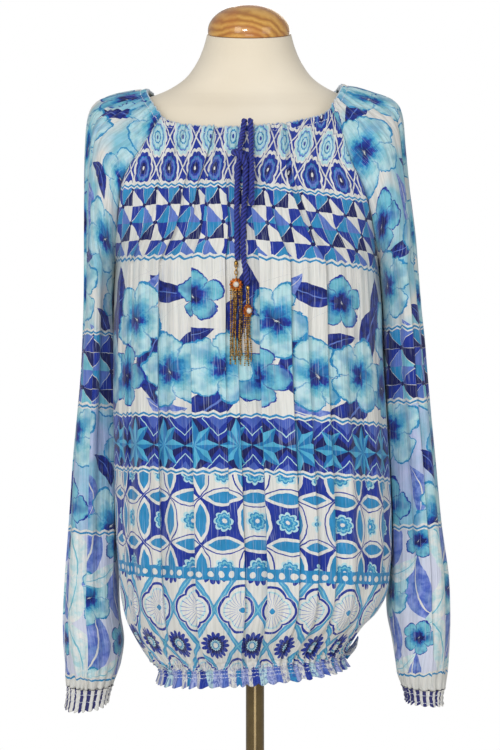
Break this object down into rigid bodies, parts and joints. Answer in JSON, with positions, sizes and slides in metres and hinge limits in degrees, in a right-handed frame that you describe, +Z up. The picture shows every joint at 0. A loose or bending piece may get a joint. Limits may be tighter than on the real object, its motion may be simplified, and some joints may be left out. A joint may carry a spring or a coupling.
{
  "type": "long-sleeve blouse on a dress form",
  "caption": "Raglan peasant blouse with long gathered sleeves, elastic hem and cuffs and a tasselled drawstring, worn on a limbless dress form with a wooden neck cap, pole and round base.",
  "frame": {"origin": "on the floor, at the centre of the underside of the round base, under the pole", "axes": "+Z up; the front of the blouse faces -Y; +X is the wearer's left"},
  "size_m": [0.4702, 0.3, 1.5021],
  "materials": {
    "printed_viscose_front": "matt crinkled viscose, printed in blues on white",
    "printed_viscose_back": "matt crinkled viscose, printed in blues on white",
    "printed_viscose_sleeve": "matt crinkled viscose, printed in blues on white",
    "striped_viscose_cuff": "matt, striped navy and white",
    "twisted_cord": "twisted royal blue cord",
    "antique_chain": "antique bronze chain with a white pearl",
    "ivory_jersey": "smooth ivory jersey",
    "lacquered_wood": "turned and lacquered",
    "bronze_lacquered_steel": "satin dark bronze"
  },
  "bodies": {
    "root": {"front_panel": "printed_viscose_front", "back_panel": "printed_viscose_back", "sleeve_right": "printed_viscose_sleeve", "sleeve_left": "printed_viscose_sleeve", "cuff_right": "striped_viscose_cuff", "cuff_left": "striped_viscose_cuff", "drawstring_right": "twisted_cord", "drawstring_left": "twisted_cord", "tassel_right": "antique_chain", "tassel_left": "antique_chain", "dress_form": "ivory_jersey", "neck_cap": "lacquered_wood", "stand_pole": "bronze_lacquered_steel", "stand_base": "bronze_lacquered_steel"}
  },
  "joints": []
}
